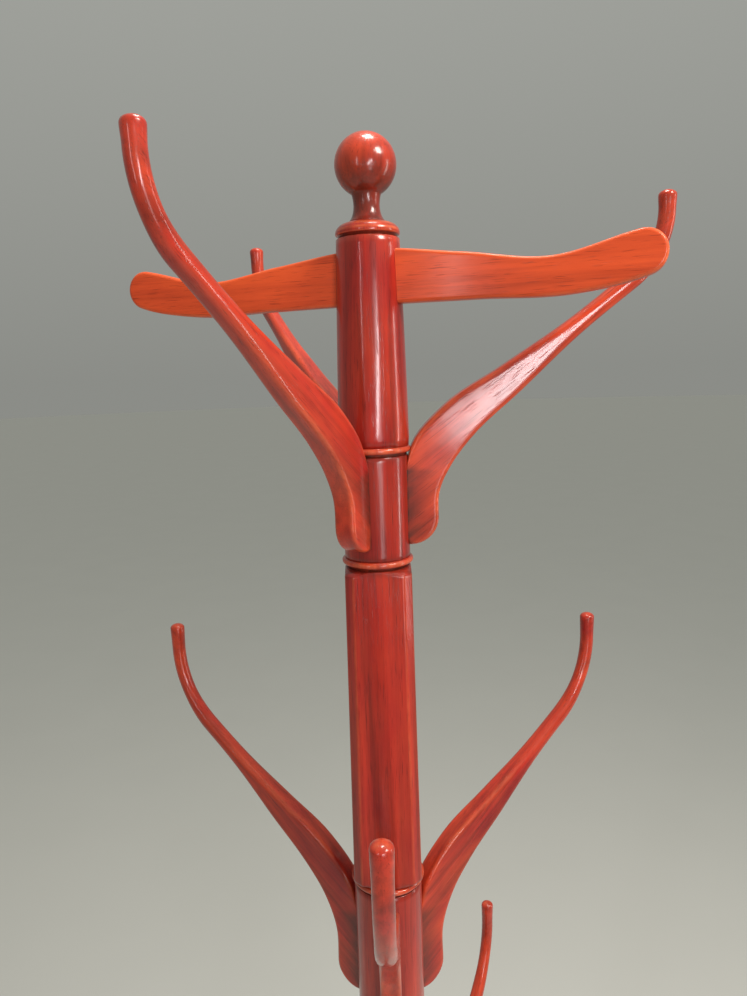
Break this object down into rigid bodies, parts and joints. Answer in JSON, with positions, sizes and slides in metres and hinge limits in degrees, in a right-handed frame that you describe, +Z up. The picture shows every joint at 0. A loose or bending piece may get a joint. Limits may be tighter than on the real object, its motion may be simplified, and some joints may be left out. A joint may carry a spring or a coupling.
{
  "type": "standing coat rack",
  "caption": "Free-standing wooden coat rack: turned and squared post on splayed curved legs, tiers of S-shaped hook arms, a coat-hanger bar near the top and a ball finial.",
  "frame": {"origin": "on the floor under the post's axis, at the middle of the footprint", "axes": "+Z up along the post; +X towards the viewer's right and +Y away from the viewer when the rack is seen from its front"},
  "size_m": [0.5702, 0.5702, 1.85],
  "materials": {
    "varnished_mahogany_post": "gloss varnish over dark red mahogany stain",
    "varnished_mahogany_arms": "gloss varnish over red mahogany stain",
    "varnished_mahogany_bar": "gloss varnish over orange-red mahogany stain",
    "varnished_mahogany_turnings": "gloss varnish, worn lighter on the beads",
    "bare_hardwood_dowel": "unfinished beech",
    "zinc_plated_steel": "zinc plated",
    "foot_pad_plastic": "matte dark brown nylon"
  },
  "bodies": {
    "root": {"finial": "varnished_mahogany_turnings", "finial_dowel": "bare_hardwood_dowel", "top_cap": "varnished_mahogany_turnings", "upper_post": "varnished_mahogany_post", "hanger_bar": "varnished_mahogany_bar", "bead_ring_1": "varnished_mahogany_turnings", "bead_ring_2": "varnished_mahogany_turnings", "bead_ring_3": "varnished_mahogany_turnings", "bead_ring_4": "varnished_mahogany_turnings", "bead_ring_5": "varnished_mahogany_turnings", "bead_ring_6": "varnished_mahogany_turnings", "hook_hub_1": "varnished_mahogany_post", "hook_hub_2": "varnished_mahogany_post", "hook_hub_3": "varnished_mahogany_post", "square_post_1": "varnished_mahogany_post", "square_post_2": "varnished_mahogany_post", "lower_post": "varnished_mahogany_post", "bottom_button": "varnished_mahogany_turnings", "section_dowels": "bare_hardwood_dowel", "tier_1_arm_1": "varnished_mahogany_arms", "tier_1_arm_2": "varnished_mahogany_arms", "tier_1_arm_3": "varnished_mahogany_arms", "tier_1_dowels": "bare_hardwood_dowel", "tier_2_arm_1": "varnished_mahogany_arms", "tier_2_arm_2": "varnished_mahogany_arms", "tier_2_arm_3": "varnished_mahogany_arms", "tier_2_dowels": "bare_hardwood_dowel", "tier_3_arm_1": "varnished_mahogany_arms", "tier_3_arm_2": "varnished_mahogany_arms", "tier_3_arm_3": "varnished_mahogany_arms", "tier_3_dowels": "bare_hardwood_dowel", "leg_1": "varnished_mahogany_arms", "leg_2": "varnished_mahogany_arms", "leg_3": "varnished_mahogany_arms", "leg_4": "varnished_mahogany_arms", "foot_pad_1": "foot_pad_plastic", "foot_pad_2": "foot_pad_plastic", "foot_pad_3": "foot_pad_plastic", "foot_pad_4": "foot_pad_plastic", "leg_screws": "zinc_plated_steel", "leg_screw_plugs": "varnished_mahogany_arms", "foot_pad_nails": "zinc_plated_steel"}
  },
  "joints": []
}
